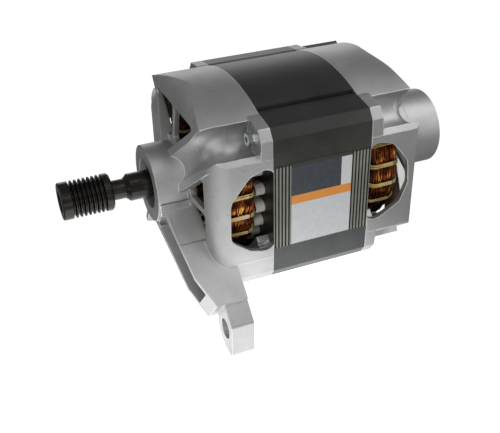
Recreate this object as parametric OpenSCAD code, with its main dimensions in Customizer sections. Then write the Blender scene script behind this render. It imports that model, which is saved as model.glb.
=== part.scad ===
// Washing machine drive motor with a ribbed pulley, two cast end shields and an open laminated core.
// X runs along the shaft from the pulley to the rear boss, Z is up, and the origin lies on the
// shaft axis in the middle of the pulley grooves. The side at negative Y carries the mounting lug.

/* [Pulley] */
// Number of belt grooves
groove_count = 8; // [4:1:10]
// Pitch of the belt grooves
groove_pitch = 2.34; // [2.3:0.01:2.4]
// Depth of a belt groove
groove_depth = 2; // [1.6:0.1:2.4]
// Diameter over the pulley flanges
pulley_d = 20.3; // [19:0.1:24]
// Width of the front flange
front_flange_w = 5; // [3:0.1:7]
// Width of the rear flange
rear_flange_w = 3.7; // [3:0.1:6]
// Diameter of the recess in the pulley's front face
recess_d = 11.8; // [10.6:0.1:13]
// Depth of that recess
recess_depth = 3.4; // [2:0.1:4]

/* [Shaft] */
// Diameter of the shaft end inside the pulley
spigot_d = 10; // [8:0.1:10.4]
// Diameter of the neck behind the pulley
neck_d = 10.8; // [10.6:0.1:12]
// Length of that neck
neck_len = 7.4; // [4:0.1:9]
// Length of the cone from the neck to the journal
neck_cone_len = 2.4; // [1.5:0.1:4]
// Diameter of the bearing journals
journal_d = 15; // [14.5:0.1:15.4]
// Diameter of the shaft inside the rotor
rotor_seat_d = 18; // [17:0.1:20]
// Diameter of the rear shaft end that carries the speed magnet
tail_d = 9; // [7:0.1:10]

/* [Core] */
// Distance from the belt plane to the front face of the core
core_front_x = 85; // [84:0.1:88]
// Length of the laminated core
core_len = 55.8; // [45:0.1:60]
// Half width of the core over its ribbed sides
core_half_w = 54; // [53.5:0.1:54.5]
// Half height of the core at the crown
core_half_h = 52.8; // [52:0.1:53.5]
// Radius of the crowned top and bottom
crown_r = 105; // [95:1:120]
// Radius of the bore that the rotor turns in
core_bore_r = 30.2; // [29.8:0.1:30.6]
// Number of winding slots
slot_count = 24; // [18:6:24]
// Radius from the shaft axis to the centre of a slot's round bottom
slot_round_r = 40; // [39:0.1:40.5]
// Half width of a slot at its round bottom
slot_half_w = 3.2; // [2.8:0.1:3.4]
// Half height of the ribbed field on each side
rib_field_half_h = 24.5; // [20:0.1:26]
// Pitch of the ribs on the sides
rib_pitch = 1.9; // [1.8:0.1:2.4]
// Depth of the grooves between the ribs
rib_depth = 0.8; // [0.4:0.1:1]

/* [End shields] */
// Wall thickness of the castings
wall = 3; // [2.4:0.1:3.2]
// Distance across the cast arm from its axis line to the trough wall
trough_r = 9.2; // [8.6:0.1:9.6]
// Thickness of the ridge on each side of a trough
ridge_w = 2.6; // [2:0.1:3]
// Radius at which the trough axis and the ridges run along the core
arm_reach = 60; // [59:0.1:61]
// Thickness of the corner feet that meet the core
foot_len = 6.3; // [5:0.1:8]
// Outer radius of the front hub
hub_r = 21.3; // [21:0.1:23]
// Distance from the core to the front face of the hub
hub_reach = 51.7; // [50:0.1:54]
// Radius of the opening in the front hub
hub_mouth_r = 14; // [13:0.1:14.5]
// Outer radius of the rear boss
boss_r = 22.2; // [21.5:0.1:24]
// Distance from the core to the rear face of the boss
boss_reach = 66.3; // [64:0.1:70]

/* [Lug] */
// Diameter of the lug's bolt hole
lug_hole_d = 11.6; // [10:0.1:12.4]
// Thickness of the lug along the shaft
lug_len = 12.8; // [10:0.1:15]
// Sideways distance from the shaft axis to the lug hole
lug_y = 65.5; // [63:0.1:67]
// Distance from the shaft axis down to the lug hole
lug_z = 58.5; // [57:0.1:60]

/* [Bearings] */
// Outside diameter of both ball bearings
bearing_od = 35; // [34:0.1:35.5]
// Width of both ball bearings
bearing_w = 11; // [10:0.1:11.4]
// Diameter of a bearing ball
ball_d = 5.94; // [5.6:0.01:6.1]
// Number of balls in a bearing
ball_count = 8; // [6:1:8]

/* [Rotor] */
// Radial gap between the rotor and the core
air_gap = 0.5; // [0.4:0.05:0.6]
// Number of rotor bars
bar_count = 28; // [20:1:32]
// Number of fan blades on each end ring
blade_count = 8; // [6:1:12]

/* [Windings] */
// Radius from the shaft axis to the innermost wire of an end winding
winding_in_r = 32.5; // [32.3:0.1:33]
// Diameter of the wound strand
strand_d = 3.8; // [3.4:0.1:3.9]
// Pitch from one strand to the next
strand_pitch = 4.8; // [4.7:0.1:5]
// Loops side by side in one layer of an end winding
layer_loops = 3; // [2:1:3]
// Layers in one end winding
layer_count = 4; // [2:1:4]
// Distance from the core to the nearest face of the end windings
winding_gap = 5.9; // [5:0.1:7]

/* [Fasteners] */
// Sideways distance from the shaft axis to a through bolt
bolt_y = 44.5; // [44:0.1:45]
// Height of a through bolt from the shaft axis
bolt_z = 37.8; // [37.4:0.1:38.2]
// Diameter of a through bolt
bolt_d = 5; // [4:0.1:5.4]

/* [Hidden] */
$fn = 96;

// Overrun of every cut past the face that it leaves
over = 1;
// Clearance between pieces that are pressed or bolted together
fit_gap = 0.03;
// Clearance of the balls in their races
run_gap = 0.06;
// Clearance of a loose piece to its seat
seat_gap = 0.3;

// Places along the shaft
groove_span = groove_count * groove_pitch;
pulley_front_x = -groove_span / 2 - front_flange_w;
pulley_rear_x = groove_span / 2 + rear_flange_w;
cone_x = pulley_rear_x + neck_len;
journal_x = cone_x + neck_cone_len;
core_rear_x = core_front_x + core_len;
hub_front_x = core_front_x - hub_reach;

// Casting profile of the front shield, measured from the core face
front_knee = 20.5;
front_bend_r = 13.5;
front_side_bend_r = 11;
front_side_knee = 22.4;
front_tilt = 11.3;
front_side_tilt = 5;
front_trough_knee = 19;
front_trough_bend_r = 21;
hub_lip = 4.3;
hub_seat_depth = hub_reach - hub_lip;
hub_root = 30;

// Casting profile of the rear shield, measured from the core face
rear_knee = 23;
rear_bend_r = 9;
rear_side_bend_r = 3.5;
rear_side_knee = 26;
rear_tilt = 22;
rear_side_tilt = 18;
rear_trough_knee = 22.4;
rear_trough_bend_r = 14;
boss_root = 27;
boss_shoulder_z = 46.3;
boss_shoulder_h = 0.3;
rear_seat_mouth = 30;
boss_chamber_r = 18.4;
boss_ledge_r = 15.4;
boss_ledge_w = 2;

// Deep rails of the two lower front arms
rail_w = 2.8;
rail_front = 50.5;
rail_knee = 44.5;
rail_knee_r = 61;
rail_lug_r = 78;
rail_lug_z = 38;
far_rail_end_r = 66;
far_rail_end_z = 40.5;
rail_start = 2;
channel_floor_z = 26;
channel_end_r = 70;
lug_back_z = 20.6;
lobe_boss_len = 23;
pocket_r = 5.7;
foot_in_r = arm_reach - trough_r - wall;
foot_half_w = trough_r + 2 * ridge_w;

// Outline of the lug about its hole, in shares of its drop below the hole
lug_drop = 13.1;
lug_shares = [[-0.88, 0.38], [-1.07, 1.53], [-0.57, 1.79], [0.73, 0.53], [0.69, -1], [-0.15, -1],
              [-0.69, -0.6], [-0.78, -0.33]];
lug_edge_r = 2.4;

// Windows and face openings, with outlines in shares of their half height and their depth
window_half_h = 25;
front_window_len = 23.8;
rear_window_len = 24.6;
window_corner_r = 6;
front_window_shares = [[-1.04, -0.05], [-0.88, 0.56], [-0.56, 1], [0.34, 0.98], [0.86, 0.54], [1.09, -0.05]];
rear_window_shares = [[-1.02, -0.05], [-0.74, 0.5], [-0.56, 0.82], [-0.1, 1], [0.44, 0.94], [0.92, 0.56],
                      [1.11, -0.05]];
spoke_w = 2.8;
opening_in_r = 24.5;
front_opening_out = 42.5;
rear_opening_out = 46;
opening_corner_r = 2;

// The straight runs of a trough are this much narrower than its bend, into which they reach
trough_step = 0.06;
// Height of the rim that a corner foot keeps round the bottom of its trough
foot_rim = 0.4;

// Corner lobes of the core
lobe_side_z = 39;
lobe_side_y = core_half_w - 0.6 * rib_depth;
lobe_corner_y = 49.6;
lobe_corner_z = 44.5;
lobe_top_y = 38.2;
lobe_top_z = 46.3;
notch_y = 32.6;
notch_w = 1.8;
notch_depth = 1.6;

arm_angle = atan2(bolt_z, bolt_y);

// Bearings, their seats and what holds them
bearing_r = bearing_od / 2;
ball_pitch_r = (bearing_od + journal_d) / 4;
race_r = ball_d / 2 + run_gap;
shoulder_h = ball_d * 0.32;
cage_t = 0.9;
cage_half_w = 3.6;
seal_r = 15;
seal_t = 1;
clip_w = 1.5;
clip_groove = 0.8;
clip_band = 2.2;
clip_mouth = 6.4;
washer_w = 1.6;
washer_t = 0.5;
washer_in_r = 15.9;
washer_out_r = 17.2;
front_bearing_x = hub_front_x + hub_lip + bearing_w / 2;
rear_seat_end = rear_seat_mouth + bearing_w + washer_w;
rear_bearing_x = core_rear_x + rear_seat_mouth + bearing_w / 2;

// Slots and what lies in them
slot_mouth_w = 2.4;
slot_neck_r = core_bore_r + 1.4;
slot_in_r = 33.2;
slot_in_half_w = 2.2;
slot_steps = 12;
wedge_t = 1;
wedge_half_w = 1.5;
liner_t = 0.4;
liner_reach = 5;

// End windings, lacing and the pieces that belong to them
rings_per_loop = 24;
strand_sides = 6;
winding_top = winding_gap + strand_d + strand_pitch * (layer_count - 1);
lace_w = 2.4;
lace_t = 0.5;
lace_corner_r = 2;
lace_places = [0, 1, 4, 5];
protector_y = 37;
protector_z = 10;
protector_l = 12;
protector_w = 7;
protector_h = 4;
protector_r = 1;

// Terminal block and leads
block_z = 7;
block_len = 22.8;
block_half_w = 7;
block_top = 6;
block_wall = 1.2;
socket_depth = 15;
pin_pitch = 4;
pin_t = 0.8;
pin_len = 8.5;
lead_r = 1.2;
lead_sides = 8;
lead_steps = 6;
lead_shares = [[0.93, 0.7, 0.24], [0.965, 0.63, 0.24], [1.02, 0.555, 0.22], [1.035, 0.47, 0.19],
               [1, 0.39, 0.16], [0.94, 0.33, 0.15], [0.89, 0.27, 0.15]];

// Bolt heads
bolt_head_r = 4.2;
bolt_flange_h = 1;
bolt_head_h = 4;
bolt_end_gap = 0.5;

// Rotor, its shaft ends and the speed pickup
rotor_r = core_bore_r - air_gap;
bar_r = 1.9;
bar_edge = 0.9;
bar_ring_r = rotor_r - bar_r - bar_edge;
end_ring_in_r = 20;
end_ring_w = 8;
blade_h = 9;
blade_t = 2;
blade_len = 6.6;
pulley_chamfer = 0.5;
groove_land = 0.3;
magnet_r = 8.5;
magnet_z = 48;
magnet_len = 10;
magnet_gap = 1;
coil_len = 9;
cap_t = 2.5;
tail_len = 18;

// Frames in which a shield opens upwards: z runs away from the core, x to the side, y up
module front_frame() {
    translate([core_front_x, 0, 0]) rotate([90, 0, -90]) children();
}

module rear_frame() {
    translate([core_rear_x, 0, 0]) rotate([90, 0, 90]) children();
}

module at_x(x) {
    translate([x, 0, 0]) rotate([90, 0, 90]) children();
}

module four_arms() {
    for (a = [arm_angle, 180 - arm_angle, 180 + arm_angle, -arm_angle]) {
        rotate([0, 0, a]) children();
    }
}

module at_bolts() {
    for (i = [-1, 1]) {
        for (k = [-1, 1]) translate([i * bolt_y, k * bolt_z, 0]) children();
    }
}

// A ring between two radii and two places along its axis
module ring(r_out, r_in, z_from, z_to) {
    translate([0, 0, z_from]) difference() {
        cylinder(r = r_out, h = z_to - z_from);
        translate([0, 0, -over]) cylinder(r = r_in, h = z_to - z_from + 2 * over);
    }
}

// Outline of the core and of the corner feet, seen along the shaft
lobe_points = [[core_half_w, rib_field_half_h], [lobe_side_y, lobe_side_z], [lobe_corner_y, lobe_corner_z],
               [lobe_top_y, lobe_top_z], [notch_y, lobe_top_z]];
function lobe_quadrant(sy, sz) = [for (p = lobe_points) [sy * p[0], sz * p[1]]];

function reversed(v) = [for (i = [len(v) - 1:-1:0]) v[i]];

module crown_2d(w) {
    for (m = [0, 1]) mirror([0, m, 0]) intersection() {
        translate([0, core_half_h - crown_r]) circle(r = crown_r - w, $fn = 240);
        translate([-core_half_w, 0]) square([2 * core_half_w, core_half_h]);
    }
}

module lobes_2d() {
    polygon(concat(lobe_quadrant(1, 1), reversed(lobe_quadrant(-1, 1)), lobe_quadrant(-1, -1),
                   reversed(lobe_quadrant(1, -1))));
}

module core_outline_2d() {
    difference() {
        union() {
            lobes_2d();
            intersection() {
                crown_2d(0);
                square([2 * notch_y, 2 * core_half_h], center = true);
            }
        }
        for (i = [-1, 1]) {
            for (k = [-1, 1]) translate([i * notch_y, k * lobe_top_z]) {
                square([notch_w, 2 * notch_depth], center = true);
            }
        }
    }
}

// Shield wall in section: the core outline without its corners, drawn in by a wall
module shield_2d(w) {
    intersection() {
        crown_2d(w);
        square([2 * (core_half_w - w), 2 * core_half_h], center = true);
        rotate(arm_angle) square([2 * (arm_reach - w), 3 * core_half_w], center = true);
        rotate(-arm_angle) square([2 * (arm_reach - w), 3 * core_half_w], center = true);
    }
}

// Side profile of a wall that rises from the core, bends inwards and runs on at a tilt
module bent_2d(reach, knee, bend_r, tilt) {
    tangent_x = reach - bend_r + bend_r * sin(tilt);
    tangent_z = knee + bend_r * cos(tilt);
    square([reach, knee]);
    translate([reach - bend_r, knee]) circle(r = bend_r);
    polygon([[0, 0], [tangent_x, 0], [tangent_x, tangent_z], [0, tangent_z + tangent_x * tan(tilt)]]);
}

module both_ways_2d() {
    children();
    mirror([1, 0, 0]) children();
}

// The cup of a shield: its section and both side profiles meet in one body
module cup(w, knee, bend_r, tilt) {
    span = 3 * core_half_w;
    intersection() {
        translate([0, 0, -over]) linear_extrude(height = span) shield_2d(w);
        rotate([90, 0, 0]) linear_extrude(height = span, center = true) {
            both_ways_2d() bent_2d(core_half_w - w, knee, bend_r - w, tilt);
            square([2 * core_half_w, 2 * over], center = true);
        }
        rotate([90, 0, 90]) linear_extrude(height = span, center = true) {
            both_ways_2d() bent_2d(core_half_h - w, knee, bend_r - w, tilt);
            square([2 * core_half_w, 2 * over], center = true);
        }
        translate([0, 0, w > 0 ? -over : 0]) cylinder(r = span, h = span);
    }
}

// One solid arm in its own frame: x outwards, z away from the core
module arm_body(reach, knee, bend_r, tilt) {
    rotate([90, 0, 0]) linear_extrude(height = 2 * (trough_r + ridge_w), center = true) {
        bent_2d(reach, knee, bend_r, tilt);
    }
}

// The round trough along an arm: straight past the core, round a bend and down towards the hub
module trough(r, knee, bend_r, tilt, z_from) {
    turn = 90 - tilt;
    run = (arm_reach - bend_r + bend_r * sin(tilt) - hub_r + 2 * wall) / cos(tilt);
    translate([arm_reach, 0, z_from]) cylinder(r = r - trough_step, h = knee - z_from + over);
    translate([arm_reach - bend_r, 0, knee]) {
        rotate([90, 0, 0]) rotate_extrude(angle = turn) translate([bend_r, 0]) circle(r = r, $fn = 64);
        rotate([0, -turn, 0]) translate([bend_r, 0, -over]) cylinder(r = r - trough_step, h = run + over);
    }
}

// Points of a polygon with every corner rounded
function unit(v) = v / norm(v);
function turned(a, b) = a + ((b - a + 540) % 360) - 180;
function corner_arc(a, b, c, r, n) = let (u = unit(a - b), v = unit(c - b), half = acos(u * v) / 2,
    m = b + unit(u + v) * r / sin(half), p = b + u * r / tan(half) - m, q = b + v * r / tan(half) - m,
    from = atan2(p.y, p.x), to = turned(from, atan2(q.y, q.x)))
    [for (i = [0:n]) m + r * [cos(from + (to - from) * i / n), sin(from + (to - from) * i / n)]];
function rounded(pts, r, n = 4) = [for (i = [0:len(pts) - 1])
    each corner_arc(pts[(i + len(pts) - 1) % len(pts)], pts[i], pts[(i + 1) % len(pts)], r, n)];

// Half of an opening in a shield's face: a wedge between a spoke and the next arm
module wedge_2d(half_angle, out_x) {
    m = tan(half_angle);
    apex = (trough_r + ridge_w) / sin(half_angle);
    t = (sqrt(pow(opening_in_r, 2) * (1 + m * m) - pow(apex * m, 2)) - apex) / (1 + m * m);
    s = spoke_w / 2;
    polygon(rounded([[opening_in_r, s], [out_x, s], [out_x, (out_x - apex) * m], [apex + t, t * m]],
                    opening_corner_r));
}

module face_openings(out, z_from, z_to) {
    for (k = [0, 1]) {
        for (m = [0, 1]) translate([0, 0, z_from]) linear_extrude(height = z_to - z_from) {
            rotate(180 * k) mirror([0, m]) wedge_2d(arm_angle, out);
            rotate(90 + 180 * k) mirror([0, m]) wedge_2d(90 - arm_angle, out);
        }
    }
}

// The window in each side wall, open towards the core
module side_windows(shares, len_z) {
    pts = [for (p = shares) [p[0] * window_half_h, p[1] * len_z]];
    for (k = [-1, 1]) translate([k * core_half_w, 0, 0]) rotate([90, 0, 90]) {
        linear_extrude(height = 4 * wall, center = true) polygon(rounded(pts, window_corner_r));
    }
}

// Corner feet with the outline of the core's lobes
module feet(angles, h) {
    for (a = angles) linear_extrude(height = h) intersection() {
        core_outline_2d();
        rotate(a) translate([foot_in_r, -foot_half_w]) square([core_half_w, 2 * foot_half_w]);
    }
}

// Deep rail pair of a lower front arm, as one block in the arm's own frame
module rail_body(end_r, end_z) {
    rotate([90, 0, 0]) linear_extrude(height = 2 * (trough_r + rail_w), center = true) {
        polygon([[hub_r - wall, hub_root], [hub_r - wall, rail_front], [rail_knee_r, rail_knee],
                 [end_r, end_z], [end_r, lug_back_z], [foot_in_r, lug_back_z]]);
    }
}

// Space between the rails, from the trough outwards
module rail_channel() {
    path_knee = front_trough_knee;
    path_r = front_trough_bend_r;
    intersection() {
        union() {
            trough(trough_r, path_knee, path_r, front_tilt, 0);
            rotate([90, 0, 0]) linear_extrude(height = 2 * trough_r, center = true) difference() {
                translate([hub_r + rail_start, path_knee]) {
                    square([channel_end_r - hub_r - rail_start, hub_reach]);
                }
                bent_2d(arm_reach, path_knee, path_r, front_tilt);
            }
        }
        translate([hub_r, -core_half_w, channel_floor_z]) cube(2 * core_half_w);
    }
}

module lug_2d() {
    translate([lug_y, -lug_z]) polygon(rounded(lug_shares * lug_drop, lug_edge_r));
}

// Space inside a shield, which leaves the trough walls and the feet standing
module hollow(side_knee, side_bend_r, side_tilt, knee, bend_r, tilt) {
    difference() {
        cup(wall, side_knee, side_bend_r, side_tilt);
        four_arms() trough(trough_r + wall, knee, bend_r, tilt, -over);
        feet([arm_angle, 180 - arm_angle, -arm_angle, 180 + arm_angle], foot_len + foot_rim);
    }
}

module front_casting() {
    upper = [arm_angle, 180 - arm_angle];
    lower = [-arm_angle, 180 + arm_angle];
    difference() {
        union() {
            cup(0, front_side_knee, front_side_bend_r, front_side_tilt);
            intersection() {
                for (a = upper) rotate([0, 0, a]) arm_body(arm_reach, front_knee, front_bend_r, front_tilt);
                linear_extrude(height = hub_reach) crown_2d(0);
            }
            feet(upper, foot_len + foot_rim);
            feet(lower, lobe_boss_len);
            rotate([0, 0, -arm_angle]) rail_body(rail_lug_r, rail_lug_z);
            rotate([0, 0, 180 + arm_angle]) rail_body(far_rail_end_r, far_rail_end_z);
        }
        hollow(front_side_knee, front_side_bend_r, front_side_tilt, front_trough_knee, front_trough_bend_r,
               front_tilt);
        for (a = upper) rotate([0, 0, a]) {
            trough(trough_r, front_trough_knee, front_trough_bend_r, front_tilt, foot_len);
        }
        for (a = lower) rotate([0, 0, a]) rail_channel();
        at_bolts() translate([0, 0, foot_len]) cylinder(r = pocket_r, h = hub_reach);
        side_windows(front_window_shares, front_window_len);
        face_openings(front_opening_out, hub_root - 3 * wall, hub_seat_depth);
    }
}

module front_shield() {
    color([0.72, 0.73, 0.74]) front_frame() difference() {
        union() {
            front_casting();
            translate([0, 0, hub_root]) cylinder(r = hub_r, h = hub_reach - hub_root);
            translate([0, 0, lug_back_z]) linear_extrude(height = lug_len) lug_2d();
        }
        at_bolts() translate([0, 0, -over]) cylinder(r = bolt_d / 2 + seat_gap, h = foot_len + 2 * over);
        translate([0, 0, -over]) cylinder(r = hub_mouth_r, h = hub_reach + 2 * over);
        translate([0, 0, -over]) cylinder(r = bearing_r + fit_gap, h = hub_seat_depth + over);
        translate([0, 0, hub_seat_depth - bearing_w - clip_w - 2 * fit_gap]) {
            cylinder(r = bearing_r + clip_groove, h = clip_w + 2 * fit_gap);
        }
        translate([lug_y, -lug_z, lug_back_z - over]) {
            cylinder(r = lug_hole_d / 2, h = lug_len + 2 * over);
        }
    }
}

module rear_casting() {
    difference() {
        union() {
            cup(0, rear_side_knee, rear_side_bend_r, rear_side_tilt);
            intersection() {
                four_arms() arm_body(arm_reach, rear_knee, rear_bend_r, rear_tilt);
                linear_extrude(height = boss_reach) crown_2d(0);
            }
            feet([arm_angle, 180 - arm_angle, -arm_angle, 180 + arm_angle], foot_len + foot_rim);
        }
        hollow(rear_side_knee, rear_side_bend_r, rear_side_tilt, rear_trough_knee, rear_trough_bend_r,
               rear_tilt);
        four_arms() trough(trough_r, rear_trough_knee, rear_trough_bend_r, rear_tilt, foot_len);
        side_windows(rear_window_shares, rear_window_len);
        face_openings(rear_opening_out, boss_root - 3 * wall, boss_root + 4 * wall);
    }
}

module rear_shield() {
    color([0.7, 0.71, 0.72]) rear_frame() difference() {
        union() {
            rear_casting();
            translate([0, 0, boss_root]) {
                cylinder(r = boss_r, h = boss_reach - boss_root);
                cylinder(r = boss_r + boss_shoulder_h, h = boss_shoulder_z - boss_root);
            }
        }
        at_bolts() translate([0, 0, -over]) cylinder(r = bolt_d / 2 + fit_gap, h = foot_len + 2 * over);
        translate([0, 0, -over]) cylinder(r = bearing_r + fit_gap, h = rear_seat_end + over);
        translate([0, 0, -over]) cylinder(r = boss_ledge_r, h = boss_reach + 2 * over);
        translate([0, 0, rear_seat_end + boss_ledge_w]) cylinder(r = boss_chamber_r, h = boss_reach);
    }
}

// Core and windings
module each_slot() {
    for (i = [0:slot_count - 1]) rotate([0, 0, 360 * (i + 0.5) / slot_count]) children();
}

module slot_2d(g) {
    r = slot_half_w - g;
    round_end = [for (i = [0:slot_steps]) let (a = 180 * i / slot_steps - 90)
        [slot_round_r + r * cos(a), r * sin(a)]];
    polygon(concat([[slot_in_r + g, slot_in_half_w - g], [slot_in_r + g, g - slot_in_half_w]], round_end));
}

module slot_mouth_2d() {
    polygon([[core_bore_r - over, slot_mouth_w / 2], [slot_neck_r, slot_mouth_w / 2],
             [slot_in_r + fit_gap, slot_in_half_w], [slot_in_r + fit_gap, -slot_in_half_w],
             [slot_neck_r, -slot_mouth_w / 2], [core_bore_r - over, -slot_mouth_w / 2]]);
}

module stator_core() {
    groove_total = floor(core_len / rib_pitch);
    color([0.18, 0.19, 0.19]) at_x(core_front_x) difference() {
        linear_extrude(height = core_len) difference() {
            core_outline_2d();
            circle(r = core_bore_r);
            each_slot() {
                slot_2d(0);
                slot_mouth_2d();
            }
            at_bolts() circle(r = bolt_d / 2 + seat_gap);
        }
        for (i = [0:groove_total - 1]) {
            translate([0, 0, (i + 0.5) * core_len / groove_total]) {
                for (k = [-1, 1]) translate([k * core_half_w, 0, 0]) {
                    cube([2 * rib_depth, 2 * rib_field_half_h, rib_pitch / 2], center = true);
                }
            }
        }
    }
}

module slot_liners() {
    length = core_len + 2 * liner_reach;
    color([0.86, 0.83, 0.72]) at_x(core_front_x - liner_reach) linear_extrude(height = length) {
        each_slot() difference() {
            slot_2d(fit_gap);
            slot_2d(fit_gap + liner_t);
        }
    }
}

module slot_coils() {
    reach = winding_gap - seat_gap;
    length = core_len + 2 * reach;
    color([0.62, 0.33, 0.13]) at_x(core_front_x - reach) linear_extrude(height = length) {
        each_slot() slot_2d(2 * fit_gap + liner_t);
    }
}

module slot_wedges() {
    length = core_len + 2 * liner_reach;
    color([0.55, 0.5, 0.35]) at_x(core_front_x - liner_reach) linear_extrude(height = length) {
        each_slot() polygon([[slot_in_r - wedge_t, wedge_half_w], [slot_in_r, wedge_half_w],
                             [slot_in_r, -wedge_half_w], [slot_in_r - wedge_t, -wedge_half_w]]);
    }
}

// Route of an end winding by turns: spirals out and in, and climbs a layer in each last half turn
winding_turns = layer_loops * layer_count - 0.5;
function layer_at(t) = min(layer_count - 1, floor(t / layer_loops));
function spread(t) = let (k = layer_at(t), u = min(t - k * layer_loops, layer_loops - 0.5))
    k % 2 == 0 ? u : layer_loops - 0.5 - u;
function climb(t) = let (k = layer_at(t))
    k + (k < layer_count - 1 ? max(0, 2 * (t - (k + 1) * layer_loops) + 1) : 0);
function winding_point(t) = let (r = winding_in_r + strand_pitch * spread(t))
    [r * cos(360 * t), r * sin(360 * t), winding_gap + strand_d / 2 + strand_pitch * climb(t)];
winding_path = [for (i = [0:winding_turns * rings_per_loop]) winding_point(i / rings_per_loop)];
function least_gap(path, apart) = min([for (i = [0:len(path) - 1 - apart])
    for (j = [i + apart:len(path) - 1]) norm(path[i] - path[j])]) - strand_d;

// A tube swept along a list of points
module tube(path, r, sides) {
    last = len(path) - 1;
    rings = [for (i = [0:last]) let (t = unit(path[min(last, i + 1)] - path[max(0, i - 1)]),
        u = unit(cross(t, abs(t.z) < 0.9 ? [0, 0, 1] : [1, 0, 0])), v = cross(t, u))
        for (k = [0:sides - 1]) path[i] + r * (cos(360 * k / sides) * u + sin(360 * k / sides) * v)];
    sides_faces = [for (i = [0:last - 1]) for (k = [0:sides - 1]) let (a = i * sides + k,
        b = i * sides + (k + 1) % sides) each [[a, a + sides, b], [b, a + sides, b + sides]]];
    end = last * sides;
    caps = [for (k = [1:sides - 2]) each [[0, k, k + 1], [end, end + k + 1, end + k]]];
    polyhedron(points = rings, faces = concat(sides_faces, caps));
}

module end_winding() {
    echo(least_gap_between_loops = least_gap(winding_path, rings_per_loop / 2));
    color([0.62, 0.3, 0.12]) tube(winding_path, strand_d / 2, strand_sides);
}

module front_end_winding() {
    front_frame() end_winding();
}

module rear_end_winding() {
    rear_frame() end_winding();
}

// Cords laced round an end winding, clear of the four arms
module lace_2d(grow) {
    in = winding_in_r - strand_d / 2 - seat_gap - grow;
    out = winding_in_r + strand_pitch * (layer_loops - 0.5) + strand_d / 2 + seat_gap + grow;
    low = winding_gap - seat_gap / 2 - grow / 4;
    high = winding_top + seat_gap + grow;
    polygon(rounded([[in, low], [out, low], [out, high], [in, high]], lace_corner_r + grow, 6));
}

module lacing() {
    for (i = lace_places) for (q = [0:3]) rotate([90, 0, 90 * q + 360 * (i + 0.5) / slot_count]) {
        linear_extrude(height = lace_w, center = true) difference() {
            lace_2d(lace_t);
            lace_2d(0);
        }
    }
}

module front_lacing() {
    color([0.87, 0.83, 0.62]) front_frame() lacing();
}

module rear_lacing() {
    color([0.87, 0.83, 0.62]) rear_frame() lacing();
}

module thermal_protector() {
    l = protector_l / 2;
    w = protector_w / 2;
    z = winding_top + 2 * seat_gap + lace_t;
    color([0.12, 0.12, 0.12]) rear_frame() translate([protector_y, protector_z, z]) {
        linear_extrude(height = protector_h) {
            polygon(rounded([[-w, -l], [w, -l], [w, l], [-w, l]], protector_r));
        }
    }
}

// The terminal block sits in the trough of the far upper arm of the rear shield
module terminal_block() {
    r = trough_r - seat_gap;
    w = block_half_w;
    color([0.08, 0.08, 0.08]) rear_frame() rotate([0, 0, arm_angle]) translate([arm_reach, 0, block_z]) {
        difference() {
            linear_extrude(height = block_len) {
                intersection() {
                    circle(r = r);
                    translate([-r, -w]) square([r, 2 * w]);
                }
                translate([-over, -w]) square([block_top + over, 2 * w]);
            }
            translate([-block_top / 2, block_wall - w, block_len - socket_depth]) {
                cube([block_top * 1.5 - block_wall, 2 * (w - block_wall), socket_depth + over]);
            }
        }
        for (i = [-1, 0, 1]) translate([block_top / 4, i * pin_pitch, block_len - socket_depth]) {
            cube([2 * pin_t, pin_t, 2 * pin_len], center = true);
        }
    }
}

function curve(p, t) = p[1] + (p[2] - p[0]) * t / 2 + (2 * p[0] - 5 * p[1] + 4 * p[2] - p[3]) * t * t / 2
    + (3 * p[1] - p[0] - 3 * p[2] + p[3]) * t * t * t / 2;
lead_path = [for (i = [0:len(lead_shares) - 4]) for (k = [0:lead_steps - 1])
    core_half_w * curve([for (j = [0:3]) lead_shares[i + j]], k / lead_steps)];

module winding_leads() {
    color([0.75, 0.72, 0.66]) rear_frame() tube(lead_path, lead_r, lead_sides);
}

module through_bolts() {
    grip = core_len + 2 * foot_len - bolt_end_gap;
    color([0.8, 0.81, 0.82]) front_frame() at_bolts() translate([0, 0, foot_len + fit_gap]) {
        translate([0, 0, -grip]) cylinder(r = bolt_d / 2, h = grip);
        difference() {
            union() {
                cylinder(r = bolt_head_r, h = bolt_flange_h);
                cylinder(r = bolt_head_r - bolt_flange_h / 2, h = bolt_head_h, $fn = 6);
            }
            translate([0, 0, bolt_head_h / 2]) cylinder(r = bolt_d / 3, h = bolt_head_h, $fn = 6);
        }
    }
}

// Ball bearings, centred on their own middle plane
module race_cut() {
    rotate_extrude() translate([ball_pitch_r, 0]) circle(r = race_r, $fn = 64);
}

module bearing_outer() {
    difference() {
        ring(bearing_r, ball_pitch_r + shoulder_h, -bearing_w / 2, bearing_w / 2);
        race_cut();
        for (k = [-1, 1]) translate([0, 0, k * bearing_w / 2]) {
            cylinder(r = seal_r, h = 2 * seal_t, center = true);
        }
    }
}

module bearing_inner() {
    difference() {
        ring(ball_pitch_r - shoulder_h, journal_d / 2 + fit_gap, -bearing_w / 2, bearing_w / 2);
        race_cut();
    }
}

module bearing_cage() {
    for (i = [0:ball_count - 1]) rotate([0, 0, 360 * i / ball_count]) {
        translate([ball_pitch_r, 0, 0]) sphere(r = ball_d / 2, $fn = 48);
    }
    ring(ball_pitch_r + cage_t, ball_pitch_r - cage_t, -cage_half_w, cage_half_w);
}

module bearing_seals() {
    for (k = [-1, 1]) translate([0, 0, k * (bearing_w - seal_t) / 2]) {
        half_t = seal_t / 2 - fit_gap;
        ring(seal_r - fit_gap, ball_pitch_r - shoulder_h + seat_gap, -half_t, half_t);
    }
}

module front_bearing_outer() {
    color([0.6, 0.61, 0.62]) at_x(front_bearing_x) bearing_outer();
}

module front_bearing_inner() {
    color([0.66, 0.67, 0.68]) at_x(front_bearing_x) bearing_inner();
}

module front_bearing_cage() {
    color([0.75, 0.75, 0.72]) at_x(front_bearing_x) bearing_cage();
}

module front_bearing_seals() {
    color([0.1, 0.1, 0.1]) at_x(front_bearing_x) bearing_seals();
}

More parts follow.
